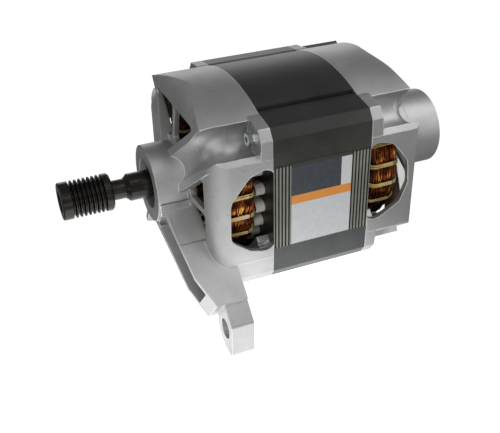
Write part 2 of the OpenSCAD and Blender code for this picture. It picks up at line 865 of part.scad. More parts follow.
module rear_bearing_outer() {
    color([0.6, 0.61, 0.62]) at_x(rear_bearing_x) bearing_outer();
}

module rear_bearing_inner() {
    color([0.66, 0.67, 0.68]) at_x(rear_bearing_x) bearing_inner();
}

module rear_bearing_cage() {
    color([0.75, 0.75, 0.72]) at_x(rear_bearing_x) bearing_cage();
}

module rear_bearing_seals() {
    color([0.1, 0.1, 0.1]) at_x(rear_bearing_x) bearing_seals();
}

// Circlip behind the front bearing, open between its two ears
module front_circlip() {
    color([0.3, 0.3, 0.31]) front_frame() {
        translate([0, 0, hub_seat_depth - bearing_w - clip_w - fit_gap]) linear_extrude(height = clip_w) {
            difference() {
                circle(r = bearing_r + clip_groove - fit_gap);
                circle(r = bearing_r - clip_band);
                polygon([[0, 0], [2 * bearing_r, -clip_mouth], [2 * bearing_r, clip_mouth]]);
            }
        }
    }
}

// Wave spring between the rear bearing and its ledge
module wave_washer() {
    steps = 48;
    top = washer_w - washer_t - 2 * fit_gap;
    wave = [for (i = [0:steps - 1]) fit_gap + top * (1 + sin(3 * 360 * i / steps)) / 2];
    section = [[washer_in_r, 0], [washer_out_r, 0], [washer_out_r, 1], [washer_in_r, 1]];
    pts = [for (i = [0:steps - 1]) for (q = section)
        [q[0] * cos(360 * i / steps), q[0] * sin(360 * i / steps), wave[i] + q[1] * washer_t]];
    color([0.5, 0.51, 0.52]) rear_frame() translate([0, 0, rear_seat_mouth + bearing_w]) {
        polyhedron(points = pts, faces = [for (i = [0:steps - 1]) for (k = [0:3]) let (a = 4 * i + k,
            b = 4 * i + (k + 1) % 4, c = 4 * ((i + 1) % steps) + k, d = 4 * ((i + 1) % steps) + (k + 1) % 4)
            each [[a, b, c], [b, d, c]]]);
    }
}

// Rotating pieces
module shaft() {
    spigot_x = pulley_front_x + recess_depth;
    shoulder_x = front_bearing_x + bearing_w / 2 + fit_gap;
    rear_shoulder_x = rear_bearing_x - bearing_w / 2 - fit_gap;
    tail_x = core_rear_x + rear_seat_end;
    steps = [[spigot_x, pulley_rear_x, spigot_d], [pulley_rear_x, cone_x, neck_d],
             [journal_x, shoulder_x, journal_d], [shoulder_x, rear_shoulder_x, rotor_seat_d],
             [rear_shoulder_x, tail_x, journal_d], [tail_x, tail_x + tail_len, tail_d]];
    color([0.2, 0.19, 0.19]) at_x(0) {
        for (s = steps) translate([0, 0, s[0]]) cylinder(r = s[2] / 2, h = s[1] - s[0]);
        translate([0, 0, cone_x]) cylinder(r1 = neck_d / 2, r2 = journal_d / 2, h = neck_cone_len);
    }
}

function groove_points() = [for (i = [0:groove_count - 1])
    let (z = front_flange_w + i * groove_pitch, mid = z + groove_pitch / 2,
         root = pulley_d / 2 - groove_depth)
    each [[pulley_d / 2, z + groove_land], [root, mid - groove_land / 2], [root, mid + groove_land / 2],
          [pulley_d / 2, z + groove_pitch - groove_land]]];

module pulley() {
    length = pulley_rear_x - pulley_front_x;
    c = pulley_chamfer;
    color([0.1, 0.1, 0.11]) at_x(pulley_front_x) rotate_extrude() {
        difference() {
            polygon(concat([[0, 0], [pulley_d / 2 - c, 0], [pulley_d / 2, c]], groove_points(),
                           [[pulley_d / 2, length - 2 * c], [pulley_d / 2 - 2 * c, length], [0, length]]));
            translate([-over, -over]) square([recess_d / 2 + over, recess_depth + over]);
            translate([-over, 0]) square([spigot_d / 2 + fit_gap + over, length + over]);
        }
    }
}

module each_bar() {
    for (i = [0:bar_count - 1]) rotate([0, 0, 360 * i / bar_count]) translate([bar_ring_r, 0, 0]) children();
}

module rotor_core() {
    color([0.35, 0.36, 0.37]) at_x(core_front_x) linear_extrude(height = core_len) difference() {
        circle(r = rotor_r);
        circle(r = rotor_seat_d / 2 + fit_gap);
        each_bar() circle(r = bar_r + fit_gap, $fn = 32);
    }
}

module rotor_end() {
    ring(rotor_r - air_gap, end_ring_in_r, 0, end_ring_w);
    for (i = [0:blade_count - 1]) rotate([0, 0, 360 * i / blade_count]) {
        translate([end_ring_in_r + over, -blade_t / 2, end_ring_w - over]) {
            cube([blade_len, blade_t, blade_h + over]);
        }
    }
}

module rotor_cage() {
    color([0.75, 0.76, 0.77]) {
        at_x(core_front_x) each_bar() translate([0, 0, -over]) {
            cylinder(r = bar_r, h = core_len + 2 * over, $fn = 32);
        }
        front_frame() translate([0, 0, fit_gap]) rotor_end();
        rear_frame() translate([0, 0, fit_gap]) rotor_end();
    }
}

module magnet_ring() {
    color([0.22, 0.22, 0.23]) rear_frame() {
        ring(magnet_r, tail_d / 2 + fit_gap, magnet_z, magnet_z + magnet_len);
    }
}

module pickup_coil() {
    z = rear_seat_end + boss_ledge_w + fit_gap;
    color([0.85, 0.82, 0.7]) rear_frame() {
        ring(boss_chamber_r - fit_gap, magnet_r + magnet_gap, z, z + coil_len);
    }
}

module boss_cap() {
    skirt = boss_reach - cap_t - (rear_seat_end + boss_ledge_w + coil_len) - seat_gap;
    color([0.1, 0.1, 0.1]) rear_frame() translate([0, 0, boss_reach - cap_t]) {
        cylinder(r = boss_chamber_r - fit_gap, h = cap_t);
        ring(boss_chamber_r - fit_gap, magnet_r + magnet_gap, -skirt, over);
    }
}

stator_core();
slot_liners();
slot_coils();
slot_wedges();
front_end_winding();
rear_end_winding();
front_lacing();
rear_lacing();
thermal_protector();
winding_leads();
terminal_block();
front_shield();
rear_shield();
through_bolts();
front_bearing_outer();
front_bearing_cage();
front_bearing_inner();
front_bearing_seals();
front_circlip();
rear_bearing_outer();
rear_bearing_cage();
rear_bearing_inner();
rear_bearing_seals();
wave_washer();
shaft();
pulley();
rotor_core();
rotor_cage();
magnet_ring();
pickup_coil();
boss_cap();
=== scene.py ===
import math
import random

import bpy
from mathutils import Matrix, Vector


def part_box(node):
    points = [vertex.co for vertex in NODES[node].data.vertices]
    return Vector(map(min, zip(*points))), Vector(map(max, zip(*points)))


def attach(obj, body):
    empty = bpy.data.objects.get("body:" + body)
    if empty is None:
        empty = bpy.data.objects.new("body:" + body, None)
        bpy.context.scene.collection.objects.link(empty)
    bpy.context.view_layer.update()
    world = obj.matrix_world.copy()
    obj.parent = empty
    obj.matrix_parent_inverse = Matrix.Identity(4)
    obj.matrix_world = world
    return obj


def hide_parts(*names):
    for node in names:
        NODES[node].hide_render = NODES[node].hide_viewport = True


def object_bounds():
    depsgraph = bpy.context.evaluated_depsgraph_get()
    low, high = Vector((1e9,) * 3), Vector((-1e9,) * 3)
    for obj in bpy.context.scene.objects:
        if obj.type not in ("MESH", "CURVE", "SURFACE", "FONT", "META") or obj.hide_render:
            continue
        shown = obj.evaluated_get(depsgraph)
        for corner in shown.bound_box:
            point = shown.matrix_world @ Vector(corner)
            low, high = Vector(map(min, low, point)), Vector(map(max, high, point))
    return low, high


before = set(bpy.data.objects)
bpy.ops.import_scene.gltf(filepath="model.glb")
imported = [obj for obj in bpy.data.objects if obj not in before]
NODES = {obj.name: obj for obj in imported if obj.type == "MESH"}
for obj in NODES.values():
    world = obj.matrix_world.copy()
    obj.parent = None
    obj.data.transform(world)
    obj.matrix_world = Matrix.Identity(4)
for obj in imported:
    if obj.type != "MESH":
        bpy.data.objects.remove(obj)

CAD_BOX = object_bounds()
MM = 0.001

# Camera, fitted to the photograph: angles in degrees, place and lens in millimetres
CAMERA_AZIMUTH = -21.97
CAMERA_ELEVATION = 32.18
CAMERA_ROLL = 1.39
CAMERA_PLACE = Vector((-55.73, -370.02, 213.82)) * MM
CAMERA_LENS = 56.99
SENSOR_WIDTH = 36

# Places of the core's faces and its near side, read from the frame
CORE_LOW, CORE_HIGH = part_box("stator_core")
CORE_FRONT = CORE_LOW.x
CORE_REAR = CORE_HIGH.x
CORE_SIDE = CORE_LOW.y


def make_camera():
    """Camera at the place that was fitted to the photograph, with its turn and roll."""
    azimuth = math.radians(CAMERA_AZIMUTH)
    elevation = math.radians(CAMERA_ELEVATION)
    roll = math.radians(CAMERA_ROLL)
    level = math.cos(elevation)
    back = Vector((math.sin(azimuth) * level, -math.cos(azimuth) * level, math.sin(elevation)))
    right = (-back).cross(Vector((0, 0, 1))).normalized()
    up = back.cross(right)
    rolled_right = right * math.cos(roll) - up * math.sin(roll)
    rolled_up = up * math.cos(roll) + right * math.sin(roll)
    data = bpy.data.cameras.new("camera")
    data.lens = CAMERA_LENS
    data.sensor_width = SENSOR_WIDTH
    data.sensor_fit = "HORIZONTAL"
    camera = bpy.data.objects.new("camera", data)
    turn = Matrix((rolled_right, rolled_up, back)).transposed()
    camera.matrix_world = Matrix.Translation(CAMERA_PLACE) @ turn.to_4x4()
    bpy.context.collection.objects.link(camera)
    bpy.context.scene.camera = camera


# Node helpers. Tones are linear red, green and blue, and noise scales are per metre.

NOISE_DETAIL = 4
NOISE_ROUGH = 0.55
GRAIN_DETAIL = 3
GRAIN_ROUGH = 0.6
GRAIN_BUMP = 0.5
DRIFT_STOPS = (0.3, 0.7)
NEW_STOP = 0.5
GLOSS_DRIFT = 0.06
COAT_ROUGHNESS = 0.15
BEVEL_SAMPLES = 6
EDGE_DOT_FLAT = 0.995
EDGE_DOT_SHARP = 0.9
MIX_COLORS = (6, 7)
MIX_RESULT = 2


def new_material(name):
    material = bpy.data.materials.new(name)
    material.use_nodes = True
    tree = material.node_tree
    return material, tree, tree.nodes["Principled BSDF"]


def feed(tree, node, inputs):
    """Set a node's inputs: a socket is linked, and anything else is its own constant."""
    for name, value in inputs.items():
        if isinstance(value, bpy.types.NodeSocket):
            tree.links.new(value, node.inputs[name])
        else:
            node.inputs[name].default_value = value


def add_node(tree, kind, inputs):
    node = tree.nodes.new(kind)
    feed(tree, node, inputs)
    return node


def object_coordinates(tree):
    return tree.nodes.new("ShaderNodeTexCoord").outputs["Object"]


def split_axes(tree, where):
    return add_node(tree, "ShaderNodeSeparateXYZ", {"Vector": where}).outputs


def noise(tree, where, scale, detail=NOISE_DETAIL, rough=NOISE_ROUGH):
    inputs = {"Vector": where, "Scale": scale, "Detail": detail, "Roughness": rough}
    return add_node(tree, "ShaderNodeTexNoise", inputs).outputs["Fac"]


def ramp(tree, source, stops):
    node = add_node(tree, "ShaderNodeValToRGB", {"Fac": source})
    elements = node.color_ramp.elements
    while len(elements) < len(stops):
        elements.new(NEW_STOP)
    for element, (place, tone) in zip(elements, stops):
        element.position = place
        element.color = (*tone, 1)
    return node.outputs["Color"]


def drifting(tree, source, tones):
    """Colour that drifts between two tones as the noise does."""
    return ramp(tree, source, list(zip(DRIFT_STOPS, tones)))


def spread(tree, source, low, high):
    inputs = {"Value": source, "To Min": low, "To Max": high}
    return add_node(tree, "ShaderNodeMapRange", inputs).outputs["Result"]


def share_of(tree, source, start, end, course="LINEAR"):
    """How far the source has come from the start to the end, from 0 to 1."""
    node = add_node(tree, "ShaderNodeMapRange", {"Value": source, "From Min": start, "From Max": end})
    node.interpolation_type = course
    return node.outputs["Result"]


def bump(tree, shader, source, strength, distance, base=None):
    inputs = {"Height": source, "Strength": strength, "Distance": distance}
    if base:
        inputs["Normal"] = base
    feed(tree, shader, {"Normal": add_node(tree, "ShaderNodeBump", inputs).outputs["Normal"]})


def mixed(tree, share, low, high):
    """Colour that goes from one tone or socket to the other with the share."""
    mix = tree.nodes.new("ShaderNodeMix")
    mix.data_type = "RGBA"
    tree.links.new(share, mix.inputs["Factor"])
    for socket, source in zip(MIX_COLORS, (low, high)):
        feed(tree, mix, {socket: (*source, 1) if isinstance(source, tuple) else source})
    return mix.outputs[MIX_RESULT]


def calculated(tree, operation, a, b=None):
    node = tree.nodes.new("ShaderNodeMath")
    node.operation = operation
    feed(tree, node, {0: a} if b is None else {0: a, 1: b})
    return node.outputs[0]


def above(tree, color, value, limit, tone):
    """Colour that changes to the tone where the value is above the limit."""
    return mixed(tree, calculated(tree, "GREATER_THAN", value, limit), color, tone)


def rounded_edges(tree, radius):
    """A normal that rounds the sharp edges, and how near an edge each point is."""
    bevel = add_node(tree, "ShaderNodeBevel", {"Radius": radius})
    bevel.samples = BEVEL_SAMPLES
    here = tree.nodes.new("ShaderNodeNewGeometry")
    dot = tree.nodes.new("ShaderNodeVectorMath")
    dot.operation = "DOT_PRODUCT"
    feed(tree, dot, {0: bevel.outputs["Normal"], 1: here.outputs["Normal"]})
    near = share_of(tree, dot.outputs["Value"], EDGE_DOT_FLAT, EDGE_DOT_SHARP)
    return bevel.outputs["Normal"], near


def finish_of(name, tones, metallic, roughness, patch=60, grain=1500, depth=0.04 * MM, coat=0.0):
    """A surface whose colour and gloss drift in patches, with a fine grain."""
    material, tree, shader = new_material(name)
    where = object_coordinates(tree)
    patches = noise(tree, where, patch)
    fine = noise(tree, where, grain, GRAIN_DETAIL, GRAIN_ROUGH)
    feed(tree, shader, {
        "Base Color": drifting(tree, patches, tones),
        "Roughness": spread(tree, patches, roughness - GLOSS_DRIFT, roughness + GLOSS_DRIFT),
        "Metallic": metallic,
        "Coat Weight": coat,
        "Coat Roughness": COAT_ROUGHNESS})
    bump(tree, shader, fine, GRAIN_BUMP, depth)
    return material


# Materials

CAST_TONES = ((0.42, 0.425, 0.425), (0.57, 0.572, 0.57))
CAST_STAIN_TONE = (0.22, 0.21, 0.19)
# Pale tone laid along the sharp edges: a painted highlight
CAST_EDGE_HIGHLIGHT_TONE = (0.88, 0.88, 0.87)
CAST_CLOUDS = 32
CAST_CLOUD_DETAIL = 5
CAST_CLOUD_ROUGH = 0.6
CAST_GRAIN = 900
CAST_GRAIN_DEPTH = 0.04 * MM
CAST_STAINS = 210
CAST_STAIN_ROUGH = 0.7
CAST_STAIN_STOPS = ((0.30, (1, 1, 1)), (0.36, (0, 0, 0)))
CAST_STAIN_SHARE = 0.35
CAST_EDGE_HIGHLIGHT_SHARE = 0.8
CAST_EDGE_R = 0.7 * MM
CAST_ROUGHNESS = (0.52, 0.46)
CAST_METALLIC = 0.92


def cast_aluminium():
    """Blasted casting: cloudy tone, fine grain, small stains, and a painted highlight along the sharp
    edges.
    """
    material, tree, shader = new_material("cast_aluminium")
    where = object_coordinates(tree)
    clouds = noise(tree, where, CAST_CLOUDS, CAST_CLOUD_DETAIL, CAST_CLOUD_ROUGH)
    fine = noise(tree, where, CAST_GRAIN, GRAIN_DETAIL, GRAIN_ROUGH)
    stains = noise(tree, where, CAST_STAINS, rough=CAST_STAIN_ROUGH)
    spots = calculated(tree, "MULTIPLY", ramp(tree, stains, CAST_STAIN_STOPS), CAST_STAIN_SHARE)
    stained = mixed(tree, spots, drifting(tree, clouds, CAST_TONES), CAST_STAIN_TONE)
    rounded, edge = rounded_edges(tree, CAST_EDGE_R)
    # Sharp edges are mixed towards the pale tone: a painted highlight along the edges
    edge_highlight = calculated(tree, "MULTIPLY", edge, CAST_EDGE_HIGHLIGHT_SHARE)
    feed(tree, shader, {
        "Base Color": mixed(tree, edge_highlight, stained, CAST_EDGE_HIGHLIGHT_TONE),
        "Roughness": spread(tree, clouds, *CAST_ROUGHNESS),
        "Metallic": CAST_METALLIC})
    bump(tree, shader, fine, GRAIN_BUMP, CAST_GRAIN_DEPTH, rounded)
    return material


# The core's colours follow its places: crown (painted shade), plain sides, light ribbed field, low band
# (painted light from below) and faces
SHEET_SIDE_TONES = ((0.030, 0.030, 0.026), (0.060, 0.060, 0.051))
# Darker tones of the crown: painted shade on the top
SHEET_TOP_PAINTED_SHADE_TONES = ((0.022, 0.023, 0.023), (0.034, 0.035, 0.035))
# Lighter tones of the low band: painted light from below
SHEET_LOW_PAINTED_LIGHT_TONES = ((0.055, 0.058, 0.060), (0.085, 0.090, 0.092))
SHEET_RIB_TONES = ((0.21, 0.215, 0.19), (0.31, 0.315, 0.28))
SHEET_FACE_TONE = (0.012, 0.010, 0.008)
SHEET_LINES = 320
SHEET_LINE_WOBBLE = 0.4
SHEET_LINE_BUMP = 0.25
SHEET_LINE_DEPTH = 0.05 * MM
SHEET_DRIFT = 45
SHEET_METALLIC = 0.25
SHEET_ROUGHNESS = 0.42
CROWN_FROM = 30 * MM
CROWN_FULL = 50 * MM
RIB_FIELD_LOW = -24.5 * MM
RIB_FIELD_TOP = 23.4 * MM
RIB_TOP_FROM = -CORE_SIDE - 0.2 * MM
FACE_DEPTH = 0.05 * MM


def core_sheets():
    """Dark varnished sheet edges: fine lines round the core, olive where the varnish is thin."""
    material, tree, shader = new_material("core_sheets")
    where = object_coordinates(tree)
    axes = split_axes(tree, where)
    line_inputs = {"Vector": where, "Scale": SHEET_LINES, "Distortion": SHEET_LINE_WOBBLE}
    lines = add_node(tree, "ShaderNodeTexWave", line_inputs)
    lines.bands_direction = "X"
    drift = noise(tree, where, SHEET_DRIFT)
    # Darker tones towards the crown: painted shade on the top
    crown_painted_shade = share_of(tree, axes["Z"], CROWN_FROM, CROWN_FULL)
    side = drifting(tree, drift, SHEET_SIDE_TONES)
    wall = mixed(tree, crown_painted_shade, side, drifting(tree, drift, SHEET_TOP_PAINTED_SHADE_TONES))
    # Lighter tones on the low band: painted light from below
    low_painted_light = calculated(tree, "LESS_THAN", axes["Z"], RIB_FIELD_LOW)
    wall = mixed(tree, low_painted_light, wall, drifting(tree, drift, SHEET_LOW_PAINTED_LIGHT_TONES))
    outermost = calculated(tree, "GREATER_THAN", calculated(tree, "ABSOLUTE", axes["Y"]), RIB_TOP_FROM)
    over_low = calculated(tree, "GREATER_THAN", axes["Z"], RIB_FIELD_LOW)
    under_top = calculated(tree, "LESS_THAN", axes["Z"], RIB_FIELD_TOP)
    in_field = calculated(tree, "MULTIPLY", under_top, over_low)
    on_ribs = calculated(tree, "MULTIPLY", outermost, in_field)
    wall = mixed(tree, on_ribs, wall, drifting(tree, drift, SHEET_RIB_TONES))
    front = calculated(tree, "LESS_THAN", axes["X"], CORE_FRONT + FACE_DEPTH)
    rear = calculated(tree, "GREATER_THAN", axes["X"], CORE_REAR - FACE_DEPTH)
    wall = mixed(tree, calculated(tree, "MAXIMUM", front, rear), wall, SHEET_FACE_TONE)
    feed(tree, shader, {"Base Color": wall, "Metallic": SHEET_METALLIC, "Roughness": SHEET_ROUGHNESS})
    bump(tree, shader, lines.outputs["Fac"], SHEET_LINE_BUMP, SHEET_LINE_DEPTH)
    return material


COPPER_STOPS = ((0.38, (0.014, 0.003, 0.001)), (0.53, (0.20, 0.034, 0.005)), (0.68, (0.72, 0.27, 0.03)))
GOLD_STOPS = ((0.38, (0.08, 0.018, 0.002)), (0.53, (0.40, 0.14, 0.012)), (0.68, (0.82, 0.50, 0.07)))
WIRE_DRIFT = 160
WIRE_DRIFT_DETAIL = 5
WIRE_DRIFT_ROUGH = 0.6
WIRE_METALLIC = 0.9
WIRE_ROUGHNESS = 0.30
WIRE_COAT = 0.2
WIRE_COAT_ROUGHNESS = 0.12


def enamelled_wire(name, stops):
    """Glossy enamel whose colour goes from dark brown through red to gold."""
    material, tree, shader = new_material(name)
    drift = noise(tree, object_coordinates(tree), WIRE_DRIFT, WIRE_DRIFT_DETAIL, WIRE_DRIFT_ROUGH)
    feed(tree, shader, {
        "Base Color": ramp(tree, drift, stops),
        "Metallic": WIRE_METALLIC,
        "Roughness": WIRE_ROUGHNESS,
        "Coat Weight": WIRE_COAT,
        "Coat Roughness": WIRE_COAT_ROUGHNESS})
    return material


def copper_wire():
    return enamelled_wire("enamelled_copper", COPPER_STOPS)


def golden_wire():
    return enamelled_wire("golden_wire", GOLD_STOPS)


# Dark tones of the winding body: painted shade that shows between the wires
def copper_in_painted_shade():
    tones = ((0.05, 0.012, 0.004), (0.16, 0.05, 0.015))
    return finish_of("copper_in_painted_shade", tones, metallic=0.3, roughness=0.4,
                     patch=120, grain=900, depth=0.1 * MM, coat=0.4)


CORD_STOPS = ((0.35, (0.55, 0.36, 0.06)), (0.62, (0.84, 0.72, 0.36)))
CORD_DRIFT = 140
CORD_FIBRES = 2600
CORD_FIBRE_DETAIL = 2
CORD_FIBRE_BUMP = 0.6
CORD_FIBRE_DEPTH = 0.08 * MM
CORD_ROUGHNESS = 0.55
CORD_COAT = 0.3
CORD_COAT_ROUGHNESS = 0.3


def lacing_cord():
    """Waxed cord: yellowed where the varnish ran in, with fine fibres."""
    material, tree, shader = new_material("lacing_cord")
    where = object_coordinates(tree)
    fibres = noise(tree, where, CORD_FIBRES, CORD_FIBRE_DETAIL)
    feed(tree, shader, {
        "Base Color": ramp(tree, noise(tree, where, CORD_DRIFT), CORD_STOPS),
        "Roughness": CORD_ROUGHNESS,
        "Coat Weight": CORD_COAT,
        "Coat Roughness": CORD_COAT_ROUGHNESS})
    bump(tree, shader, fibres, CORD_FIBRE_BUMP, CORD_FIBRE_DEPTH)
    return material


def slot_paper():
    tones = ((0.48, 0.48, 0.43), (0.62, 0.62, 0.57))
    return finish_of("slot_paper", tones, metallic=0.0, roughness=0.6, patch=90, grain=1200)


def black_oxide():
    tones = ((0.030, 0.029, 0.028), (0.060, 0.055, 0.050))
    return finish_of("black_oxide", tones, metallic=0.85, roughness=0.24,
                     patch=80, grain=1400, depth=0.02 * MM)


STEEL_DARK_SHARE = 0.9


def steel(name, tone, roughness):
    """Bare or plated metal, close to one tone."""
    tones = (tuple(v * STEEL_DARK_SHARE for v in tone), tone)
    return finish_of(name, tones, metallic=1.0, roughness=roughness,
                     patch=120, grain=1600, depth=0.01 * MM)


def black_plastic():
    tones = ((0.018, 0.018, 0.018), (0.03, 0.03, 0.03))
    return finish_of("black_plastic", tones, metallic=0.0, roughness=0.45, patch=90, grain=2200)


def seal_rubber():
    tones = ((0.02, 0.02, 0.02), (0.035, 0.035, 0.035))
    return finish_of("seal_rubber", tones, metallic=0.0, roughness=0.6)


def sintered_magnet():
    tones = ((0.05, 0.05, 0.052), (0.09, 0.09, 0.09))
    return finish_of("magnet", tones, metallic=0.2, roughness=0.5)


# Label on the ribbed side: its places along the shaft and in height, and its tones
LABEL_LEFT = 95 * MM
LABEL_RIGHT = 129.6 * MM
LABEL_PANEL_LEFT = 123.5 * MM
LABEL_LOW = -24 * MM
LABEL_STRIP_LOW = 0.5 * MM
LABEL_BLOCK_LOW = 5.6 * MM
LABEL_EDGE_LOW = 22.3 * MM
LABEL_TOP = 24.4 * MM
LABEL_T = 0.15 * MM
LABEL_GAP = 0.02 * MM
LABEL_PALE_TONES = ((0.52, 0.54, 0.55), (0.58, 0.60, 0.61))
LABEL_DARK_TONES = ((0.040, 0.047, 0.058), (0.058, 0.066, 0.080))
LABEL_WHITE = (0.60, 0.61, 0.62)
LABEL_ORANGE = (0.70, 0.27, 0.050)
LABEL_EDGE_TONE = (0.045, 0.045, 0.040)
LABEL_DRIFT = 400
LABEL_ROUGHNESS = 0.35


def label_print():
    """Label with a dark block, a white panel, an orange strip and a pale field, and no lettering."""
    material, tree, shader = new_material("label_print")
    where = object_coordinates(tree)
    axes = split_axes(tree, where)
    drift = noise(tree, where, LABEL_DRIFT)
    dark = drifting(tree, drift, LABEL_DARK_TONES)
    pale = drifting(tree, drift, LABEL_PALE_TONES)
    block = above(tree, dark, axes["X"], LABEL_PANEL_LEFT, LABEL_WHITE)
    color = above(tree, pale, axes["Z"], LABEL_STRIP_LOW, LABEL_ORANGE)
    color = above(tree, color, axes["Z"], LABEL_BLOCK_LOW, block)
    color = above(tree, color, axes["Z"], LABEL_EDGE_LOW, LABEL_EDGE_TONE)
    feed(tree, shader, {"Base Color": color, "Roughness": LABEL_ROUGHNESS})
    return material


def dress(material, *nodes):
    for node in nodes:
        mesh = NODES[node].data
        mesh.materials.clear()
        mesh.materials.append(material)


def dress_frame():
    """Give every CAD node its material."""
    dress(cast_aluminium(), "front_shield", "rear_shield", "rotor_cage")
    dress(black_oxide(), "shaft", "pulley")
    dress(steel("ground_steel", (0.62, 0.63, 0.64), roughness=0.25),
          "front_bearing_outer", "front_bearing_inner", "front_bearing_cage",
          "rear_bearing_outer", "rear_bearing_inner", "rear_bearing_cage")
    dress(steel("spring_steel", (0.25, 0.25, 0.27), roughness=0.35), "front_circlip", "wave_washer")
    dress(steel("zinc_plate", (0.78, 0.79, 0.80), roughness=0.22), "through_bolts")
    dress(core_sheets(), "stator_core")
    dress(steel("rotor_sheets", (0.30, 0.30, 0.31), roughness=0.4), "rotor_core")
    dress(black_plastic(), "thermal_protector", "terminal_block", "boss_cap")
    dress(slot_paper(), "slot_liners", "slot_wedges", "pickup_coil", "front_lacing", "rear_lacing",
          "winding_leads")
    dress(copper_wire(), "slot_coils", "front_end_winding", "rear_end_winding")
    dress(seal_rubber(), "front_bearing_seals", "rear_bearing_seals")
    dress(sintered_magnet(), "magnet_ring")


# Pieces

def add_mesh(name, verts, faces, material, smooth=True):
    """New piece of the housing, which is the body that stays still."""
    mesh = bpy.data.meshes.new(name)
    mesh.from_pydata(verts, [], faces)
    mesh.update()
    for polygon in mesh.polygons:
        polygon.use_smooth = smooth
    mesh.materials.append(material)
    piece = bpy.data.objects.new(name, mesh)
    bpy.context.collection.objects.link(piece)
    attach(piece, "housing")
    return piece


LEAST_CROSS = 0.2


def ring_axes(before, after):
    """Two directions square to the way from one point to the next."""
    along = (after - before).normalized()
    across = along.cross(Vector((1, 0, 0)))
    if across.length < LEAST_CROSS:
        across = along.cross(Vector((0, 1, 0)))
    across.normalize()
    return across, along.cross(across)


def tube_mesh(paths, radius, sides, closed):
    """Vertices and faces of round tubes along the paths."""
    verts, faces = [], []
    for path in paths:
        first = len(verts)
        count = len(path)
        for i, p in enumerate(path):
            before = path[i - 1] if closed or i else p
            after = path[(i + 1) % count] if closed or i < count - 1 else p
            across, other = ring_axes(before, after)
            for k in range(sides):
                turn = 2 * math.pi * k / sides
                verts.append(p + radius * (math.cos(turn) * across + math.sin(turn) * other))
        for i in range(count if closed else count - 1):
            here = first + i * sides
            there = first + ((i + 1) % count) * sides
            for k in range(sides):
                m = (k + 1) % sides
                faces.append((here + k, here + m, there + m, there + k))
        if not closed:
            faces.append(tuple(first + k for k in reversed(range(sides))))
            faces.append(tuple(first + (count - 1) * sides + k for k in range(sides)))
    return verts, faces


# Section of an end winding: radii from the shaft axis and distances from the core
WINDING_IN = 30.6 * MM
WINDING_OUT = 46.4 * MM
WINDING_LOW = 5.9 * MM
WINDING_TOP = 24.1 * MM
WINDING_CORNER = 4.5 * MM
LEAST_CORNER = 0.3 * MM
QUARTER = math.pi / 2

# Slots and lacings round the shaft, in degrees: each lacing lies in line with a slot
SLOT_PITCH = 15
SLOT_START = 7.5
LACED_SLOTS = (0, 1, 4, 5)
LACE_ANGLES = [math.radians(start + SLOT_START + SLOT_PITCH * i)
               for start in (0, 90, 180, 270) for i in LACED_SLOTS]
PINCH_DEPTH = 0.9 * MM

WIRE_R = 0.5 * MM
WIRE_COUNT = 62
WIRE_POINTS = 144
WIRE_SIDES = 6
WIRE_DEPTH = 0.3 * MM
SWAY_LEAST = 0.004
SWAY_MOST = 0.012
SWAY_WAVES = (2, 5)
WEAVE_HEIGHT = 0.25 * MM
WEAVE_WAVES = 9
STRAY_COUNT = 9
STRAY_SWAY = 6
STRAY_SEED = 20
FILL_AROUND = 144
FILL_ACROSS = 40
FILL_DEPTH = 1.3 * MM


def section_point(share, inset):
    """Point (radius, distance from the core) on the rounded section of an end winding."""
    corner = max(WINDING_CORNER - inset, LEAST_CORNER)
    flat_r = (WINDING_OUT - WINDING_IN) / 2 - inset - corner
    flat_z = (WINDING_TOP - WINDING_LOW) / 2 - inset - corner
    arc = QUARTER * corner
    s = (share % 1) * 4 * (flat_r + flat_z + arc)
    turns = ((flat_r, flat_z, -1, 0), (-flat_r, flat_z, 0, -1),
             (-flat_r, -flat_z, 1, 0), (flat_r, -flat_z, 0, 1))
    for i, (corner_r, corner_z, step_r, step_z) in enumerate(turns):
        straight = 2 * (abs(step_r) * flat_r + abs(step_z) * flat_z)
        if s < arc + straight:
            break
        s -= arc + straight
    angle = QUARTER * i + min(s / corner, QUARTER)
    along = max(s - arc, 0)
    radius = (WINDING_IN + WINDING_OUT) / 2 + corner_r + corner * math.cos(angle) + step_r * along
    out = (WINDING_LOW + WINDING_TOP) / 2 + corner_z + corner * math.sin(angle) + step_z * along
    return radius, out


def pinch(angle):
    """How deep the winding is drawn in here: full in line with a slot, none between two."""
    phase = (angle - math.radians(SLOT_START)) / math.radians(SLOT_PITCH)
    return PINCH_DEPTH * (0.5 + 0.5 * math.cos(2 * math.pi * phase))


def at_end(end, radius, angle, out):
    """Point of the shared frame from polar coordinates about the shaft, out from a core face."""
    x = CORE_FRONT - out if end == "front" else CORE_REAR + out
    return Vector((x, radius * math.cos(angle), radius * math.sin(angle)))


def wires(end, seed, count, stray, depth):
    """Closed wires that run round an end winding and wander across its surface."""
    rng = random.Random(seed)
    paths = []
    for w in range(count):
        sway = []
        for _ in range(2):
            reach = stray * rng.uniform(SWAY_LEAST, SWAY_MOST)
            waves = rng.randint(*SWAY_WAVES)
            sway.append((reach, waves, rng.uniform(0, 2 * math.pi)))
        weave = rng.uniform(0, 2 * math.pi)
        path = []
        for i in range(WIRE_POINTS):
            angle = 2 * math.pi * i / WIRE_POINTS
            share = w / count + sum(a * math.sin(n * angle + p) for a, n, p in sway)
            lift = WEAVE_HEIGHT * math.sin(WEAVE_WAVES * angle + weave)
            radius, out = section_point(share, WIRE_R + depth + pinch(angle) + lift)
            path.append(at_end(end, radius, angle, out))
        paths.append(path)
    return paths


def winding_fill(end):
    """Body under the wires of an end winding, darkened as painted shade between the wires."""
    verts, faces = [], []
    for i in range(FILL_AROUND):
        angle = 2 * math.pi * i / FILL_AROUND
        here = i * FILL_ACROSS
        there = (i + 1) % FILL_AROUND * FILL_ACROSS
        for k in range(FILL_ACROSS):
            radius, out = section_point(k / FILL_ACROSS, FILL_DEPTH + pinch(angle))
            verts.append(at_end(end, radius, angle, out))
            m = (k + 1) % FILL_ACROSS
            face = (here + k, here + m, there + m, there + k)
            faces.append(face if end == "rear" else (face[0], face[3], face[2], face[1]))
    return verts, faces


